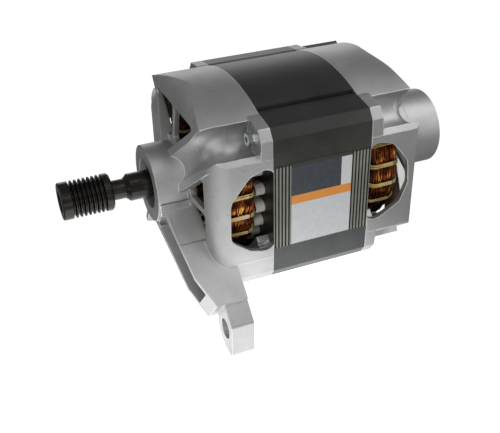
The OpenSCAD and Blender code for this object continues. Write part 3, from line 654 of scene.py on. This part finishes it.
def make_windings(copper, dark, gold):
    """Each end winding as its wires over a body darkened as painted shade, with a few paler wires
    astray.
    """
    for seed, end in enumerate(("front", "rear")):
        laid = wires(end, seed, WIRE_COUNT, stray=1, depth=WIRE_DEPTH)
        verts, faces = tube_mesh(laid, WIRE_R, WIRE_SIDES, closed=True)
        wound = add_mesh(end + "_winding_wires", verts, faces, copper)
        verts, faces = winding_fill(end)
        add_mesh(end + "_winding_fill", verts, faces, dark)
        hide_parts(end + "_end_winding")
        strays = wires(end, STRAY_SEED + seed, STRAY_COUNT, STRAY_SWAY, depth=0)
        verts, faces = tube_mesh(strays, WIRE_R, WIRE_SIDES, closed=True)
        add_mesh(end + "_stray_wires", verts, faces, gold)


# Cord of the lacings: three turns side by side at each place, each a little askew
CORD_R = 0.42 * MM
CORD_POINTS = 56
CORD_SIDES = 6
CORD_INSET = 0.3 * MM
CORD_PITCH = 0.8 * MM
CORD_TILT = 0.006
CORD_TURNS = (-1, 0, 1)
CORD_SEED = 10


def make_lacing(cord):
    """Cord wraps that tie an end winding at each lacing."""
    for seed, end in enumerate(("front", "rear")):
        rng = random.Random(CORD_SEED + seed)
        paths = []
        for angle in LACE_ANGLES:
            for turn in CORD_TURNS:
                path = []
                tilt = rng.uniform(-CORD_TILT, CORD_TILT)
                for k in range(CORD_POINTS):
                    radius, out = section_point(k / CORD_POINTS, CORD_INSET)
                    shift = turn * CORD_PITCH / radius + tilt * math.sin(2 * math.pi * k / CORD_POINTS)
                    path.append(at_end(end, radius, angle + shift, out))
                paths.append(path)
        verts, faces = tube_mesh(paths, CORD_R, CORD_SIDES, closed=True)
        piece = add_mesh(end + "_lacing_cord", verts, faces, cord)
        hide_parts(end + "_lacing")


# Leads from the rear winding to the terminal block, in mm: out from the core, then across and up
LEAD_KNOTS = [(12.96, 50.22, 37.8), (12.96, 52.11, 34.02), (11.88, 55.08, 29.97), (10.26, 55.89, 25.38),
              (8.64, 54, 21.06), (8.1, 50.76, 17.82), (8.1, 48.06, 14.58)]
LEAD_R = 1.3 * MM
LEAD_STEPS = 12
LEAD_SIDES = 16


def curve_point(p, t):
    """Point on a smooth curve (Catmull-Rom) through the second and third of four points."""
    return p[1] + (p[2] - p[0]) * t / 2 + (2 * p[0] - 5 * p[1] + 4 * p[2] - p[3]) * t * t / 2 + (
        3 * p[1] - p[0] - 3 * p[2] + p[3]) * t ** 3 / 2


def make_leads(sleeve):
    """The leads in one sleeve, which bends smoothly from the winding up to the connector."""
    knots = [Vector((CORE_REAR + out * MM, across * MM, up * MM)) for out, across, up in LEAD_KNOTS]
    path = []
    for i in range(len(knots) - 3):
        for k in range(LEAD_STEPS):
            path.append(curve_point(knots[i:i + 4], k / LEAD_STEPS))
    verts, faces = tube_mesh([path], LEAD_R, LEAD_SIDES, closed=False)
    piece = add_mesh("lead_sleeve", verts, faces, sleeve)
    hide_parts("winding_leads")


# Connector in the far upper trough: out along the arm, across it, and back from the core
BOLT_SIDE = 44.5 * MM
BOLT_HEIGHT = 37.8 * MM
BLOCK_ANGLE = math.atan2(BOLT_HEIGHT, BOLT_SIDE)
BLOCK_REACH = 60 * MM
BLOCK_FROM = 7 * MM
BLOCK_LEN = 22.8 * MM
BLOCK_R = 8.9 * MM
BLOCK_HALF = 7 * MM
BLOCK_TOP = 2.2 * MM
BLOCK_WALL = 1.2 * MM
SOCKET_FLOOR = -3 * MM
SOCKET_FROM = 7.8 * MM
PIN_END = 16.3 * MM
PIN_PITCH = 4 * MM
PIN_HALF = 0.4 * MM
PIN_PLACES = (-1, 0, 1)
LATCH = (9 * MM, 15 * MM)
LATCH_HALF = 2.5 * MM
LATCH_H = 2 * MM
ARC_STEPS = 16


def at_block(u, v, w):
    """Point of the shared frame: u out along the arm, v across it, w back along the shaft."""
    c, s = math.cos(BLOCK_ANGLE), math.sin(BLOCK_ANGLE)
    reach = BLOCK_REACH + u
    return Vector((CORE_REAR + BLOCK_FROM + w, c * reach - s * v, s * reach + c * v))


def prism(profile, low, high):
    """Closed solid with this profile between two distances along the shaft."""
    count = len(profile)
    verts = [at_block(u, v, w) for w in (low, high) for u, v in profile]
    faces = [tuple(reversed(range(count))), tuple(range(count, 2 * count))]
    faces += [(i, (i + 1) % count, count + (i + 1) % count, count + i) for i in range(count)]
    return verts, faces


def bar(u, v, low, high):
    """Box between two places out along the arm, two across it and two along the shaft."""
    return prism([(u[0], v[0]), (u[1], v[0]), (u[1], v[1]), (u[0], v[1])], low, high)


def joined(parts):
    """Vertices and faces of several closed solids as one mesh."""
    verts, faces = [], []
    for part_verts, part_faces in parts:
        first = len(verts)
        verts += part_verts
        faces += [tuple(first + i for i in face) for face in part_faces]
    return verts, faces


def make_connector(plastic, metal):
    """Housing with its socket and latch, and three flat pins in the socket."""
    inner = BLOCK_HALF - BLOCK_WALL
    lid = BLOCK_TOP - BLOCK_WALL
    half_arc = math.asin(BLOCK_HALF / BLOCK_R)
    turns = [half_arc * (2 * i / ARC_STEPS - 1) for i in reversed(range(ARC_STEPS + 1))]
    base = [(SOCKET_FLOOR, -BLOCK_HALF), (SOCKET_FLOOR, BLOCK_HALF)]
    base += [(-BLOCK_R * math.cos(a), BLOCK_R * math.sin(a)) for a in turns]
    parts = [prism(base, 0, BLOCK_LEN),
             bar((SOCKET_FLOOR, BLOCK_TOP), (-BLOCK_HALF, -inner), 0, BLOCK_LEN),
             bar((SOCKET_FLOOR, BLOCK_TOP), (inner, BLOCK_HALF), 0, BLOCK_LEN),
             bar((lid, BLOCK_TOP), (-inner, inner), 0, BLOCK_LEN),
             bar((SOCKET_FLOOR, lid), (-inner, inner), 0, SOCKET_FROM),
             bar((BLOCK_TOP, BLOCK_TOP + LATCH_H), (-LATCH_HALF, LATCH_HALF), *LATCH)]
    verts, faces = joined(parts)
    shell = add_mesh("connector_shell", verts, faces, plastic, smooth=False)
    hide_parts("terminal_block")
    middle = (SOCKET_FLOOR + lid) / 2
    tall = (middle - 2 * PIN_HALF, middle + 2 * PIN_HALF)
    pins = [bar(tall, (i * PIN_PITCH - PIN_HALF, i * PIN_PITCH + PIN_HALF), SOCKET_FROM, PIN_END)
            for i in PIN_PLACES]
    verts, faces = joined(pins)
    add_mesh("connector_pins", verts, faces, metal, smooth=False)


def make_label():
    """Thin backed sheet that stands just off the ribs."""
    y_back = CORE_SIDE - LABEL_GAP
    corners = ((LABEL_LEFT, LABEL_LOW), (LABEL_RIGHT, LABEL_LOW),
               (LABEL_RIGHT, LABEL_TOP), (LABEL_LEFT, LABEL_TOP))
    verts = [(x, y, z) for y in (y_back, y_back - LABEL_T) for x, z in corners]
    faces = [(3, 2, 1, 0), (4, 5, 6, 7), (0, 1, 5, 4), (1, 2, 6, 5), (2, 3, 7, 6), (3, 0, 4, 7)]
    add_mesh("side_label", verts, faces, label_print(), smooth=False)


# Stage: the floor is pale and glows close round the part, is duller beyond, and white to the camera

FLOOR_HALF = 3.0
FLOOR_DARK = (0.30, 0.30, 0.30)
FLOOR_PALE = (0.90, 0.90, 0.90)
FLOOR_ROUGHNESS = 0.9
POOL_MIDDLE = (0.06, -0.06)
POOL_NEAR = 0.06
POOL_FAR = 0.155
POOL_GLOW = 1.2
VIEW_GLOW = 1.4
VIEW_SHARE = 0.7
WHITE = (1, 1, 1, 1)


def floor_material(z):
    """Floor that is pale and glows near the part, and that the camera sees as white."""
    material, tree, shader = new_material("floor")
    here = tree.nodes.new("ShaderNodeNewGeometry")
    away = tree.nodes.new("ShaderNodeVectorMath")
    away.operation = "DISTANCE"
    feed(tree, away, {0: here.outputs["Position"], 1: (*POOL_MIDDLE, z)})
    pool = share_of(tree, away.outputs["Value"], POOL_FAR, POOL_NEAR, "SMOOTHSTEP")
    feed(tree, shader, {
        "Base Color": mixed(tree, pool, FLOOR_DARK, FLOOR_PALE),
        "Emission Color": WHITE,
        "Emission Strength": calculated(tree, "MULTIPLY", pool, POOL_GLOW),
        "Roughness": FLOOR_ROUGHNESS})
    glow = add_node(tree, "ShaderNodeEmission", {"Strength": VIEW_GLOW})
    path = tree.nodes.new("ShaderNodeLightPath")
    share = calculated(tree, "MULTIPLY", path.outputs["Is Camera Ray"], VIEW_SHARE)
    both = add_node(tree, "ShaderNodeMixShader", {
        "Fac": share,
        1: shader.outputs["BSDF"],
        2: glow.outputs["Emission"]})
    feed(tree, tree.nodes["Material Output"], {"Surface": both.outputs["Shader"]})
    return material


def make_floor():
    """Square of floor at the lowest point of the part."""
    z = CAD_BOX[0][2]
    half = FLOOR_HALF
    mesh = bpy.data.meshes.new("floor")
    corners = [(-half, -half, z), (half, -half, z), (half, half, z), (-half, half, z)]
    mesh.from_pydata(corners, [], [(0, 1, 2, 3)])
    mesh.materials.append(floor_material(z))
    floor = bpy.data.objects.new("floor", mesh)
    bpy.context.collection.objects.link(floor)


SKY_TONE = (0.86, 0.87, 0.86, 1)
SKY_STRENGTH = 0.19


def make_world():
    """Dim soft sky, which the camera sees as white."""
    world = bpy.data.worlds.new("studio")
    world.use_nodes = True
    tree = world.node_tree
    soft = tree.nodes["Background"]
    feed(tree, soft, {"Color": SKY_TONE, "Strength": SKY_STRENGTH})
    white = add_node(tree, "ShaderNodeBackground", {"Color": WHITE, "Strength": 1.0})
    path = tree.nodes.new("ShaderNodeLightPath")
    both = add_node(tree, "ShaderNodeMixShader", {
        "Fac": path.outputs["Is Camera Ray"],
        1: soft.outputs["Background"],
        2: white.outputs["Background"]})
    feed(tree, tree.nodes["World Output"], {"Surface": both.outputs["Shader"]})
    bpy.context.scene.world = world


# Soft lights: name, place, what it points at, its two sides in metres, and its watts
PART_MIDDLE = (0.09, 0, 0)
FOOT_MIDDLE = (0.05, 0, -0.04)
LIGHTS = [
    ("key", (-0.35, -0.70, 0.80), PART_MIDDLE, (0.9, 0.5), 2.5),
    ("top", (0.60, -0.25, 0.85), PART_MIDDLE, (0.7, 0.6), 3.0),
    ("side", (0.75, -0.45, 0.20), PART_MIDDLE, (0.4, 0.6), 1.3),
    ("low", (-0.30, -0.55, 0.02), FOOT_MIDDLE, (0.9, 0.25), 1.2),
    ("back", (0.30, 0.95, 0.06), PART_MIDDLE, (0.9, 0.5), 1.8),
    ("front", (-0.90, 0.30, 0.10), PART_MIDDLE, (0.6, 0.6), 0.8)]


def make_lights():
    for name, place, target, size, power in LIGHTS:
        data = bpy.data.lights.new(name, "AREA")
        data.shape = "RECTANGLE"
        data.size, data.size_y = size
        data.energy = power
        lamp = bpy.data.objects.new(name, data)
        lamp.location = place
        lamp.rotation_euler = (Vector(target) - Vector(place)).to_track_quat("-Z", "Y").to_euler()
        bpy.context.collection.objects.link(lamp)


make_camera()
make_world()
make_lights()
make_floor()
dress_frame()
make_windings(copper_wire(), copper_in_painted_shade(), golden_wire())
make_lacing(lacing_cord())
make_leads(slot_paper())
make_connector(black_plastic(), steel("pin_tin", (0.75, 0.74, 0.70), roughness=0.3))
make_label()
bpy.context.scene.view_settings.view_transform = "Standard"
